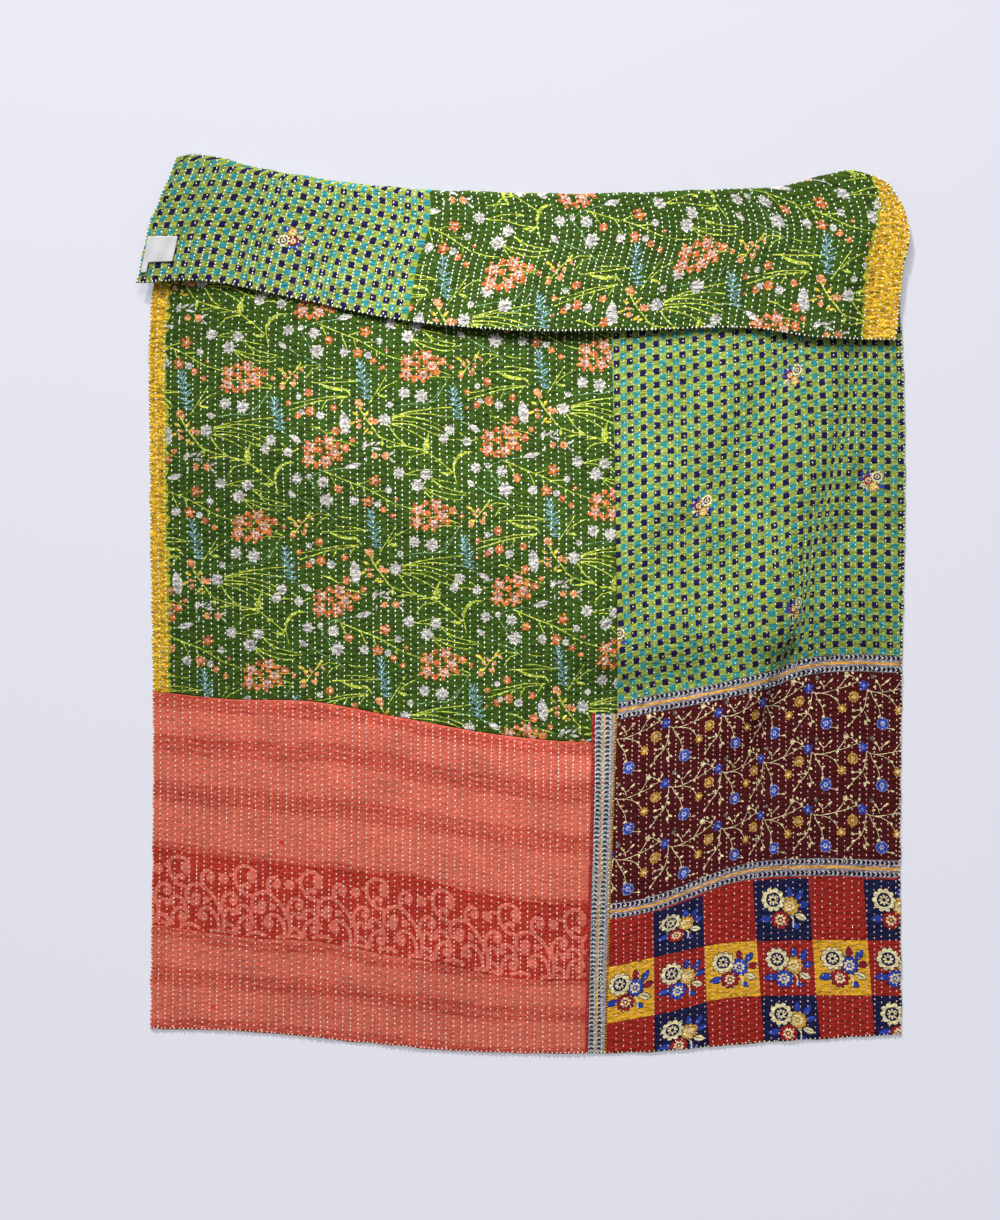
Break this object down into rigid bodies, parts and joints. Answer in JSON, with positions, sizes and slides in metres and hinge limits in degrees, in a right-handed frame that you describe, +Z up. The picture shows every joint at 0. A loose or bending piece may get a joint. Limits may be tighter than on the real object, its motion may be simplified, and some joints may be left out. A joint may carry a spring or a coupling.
{
  "type": "kantha quilt",
  "caption": "Throw of two layers of printed cotton, quilted together in close rows of running stitch, lying face up with its top end folded over to the front.",
  "frame": {"origin": "on the ground under the middle of the quilt's outline as it lies", "axes": "+Z up, +Y from the hem to the folded top end, +X from the green side to the checked side"},
  "size_m": [1.3016, 1.5196, 0.0277],
  "materials": {
    "green_print_cotton": "matt washed cotton, printed",
    "coral_cotton": "matt washed cotton",
    "border_cotton": "matt washed cotton, printed",
    "maroon_print_cotton": "matt washed cotton, printed",
    "check_cotton": "matt washed cotton, printed",
    "white_tape": "matt woven tape"
  },
  "bodies": {
    "root": {"front_green_panel": "green_print_cotton", "front_coral_panel": "coral_cotton", "border_strip": "border_cotton", "front_print_panel": "maroon_print_cotton", "back_check_panel": "check_cotton", "back_green_panel": "green_print_cotton", "label": "white_tape"}
  },
  "joints": []
}
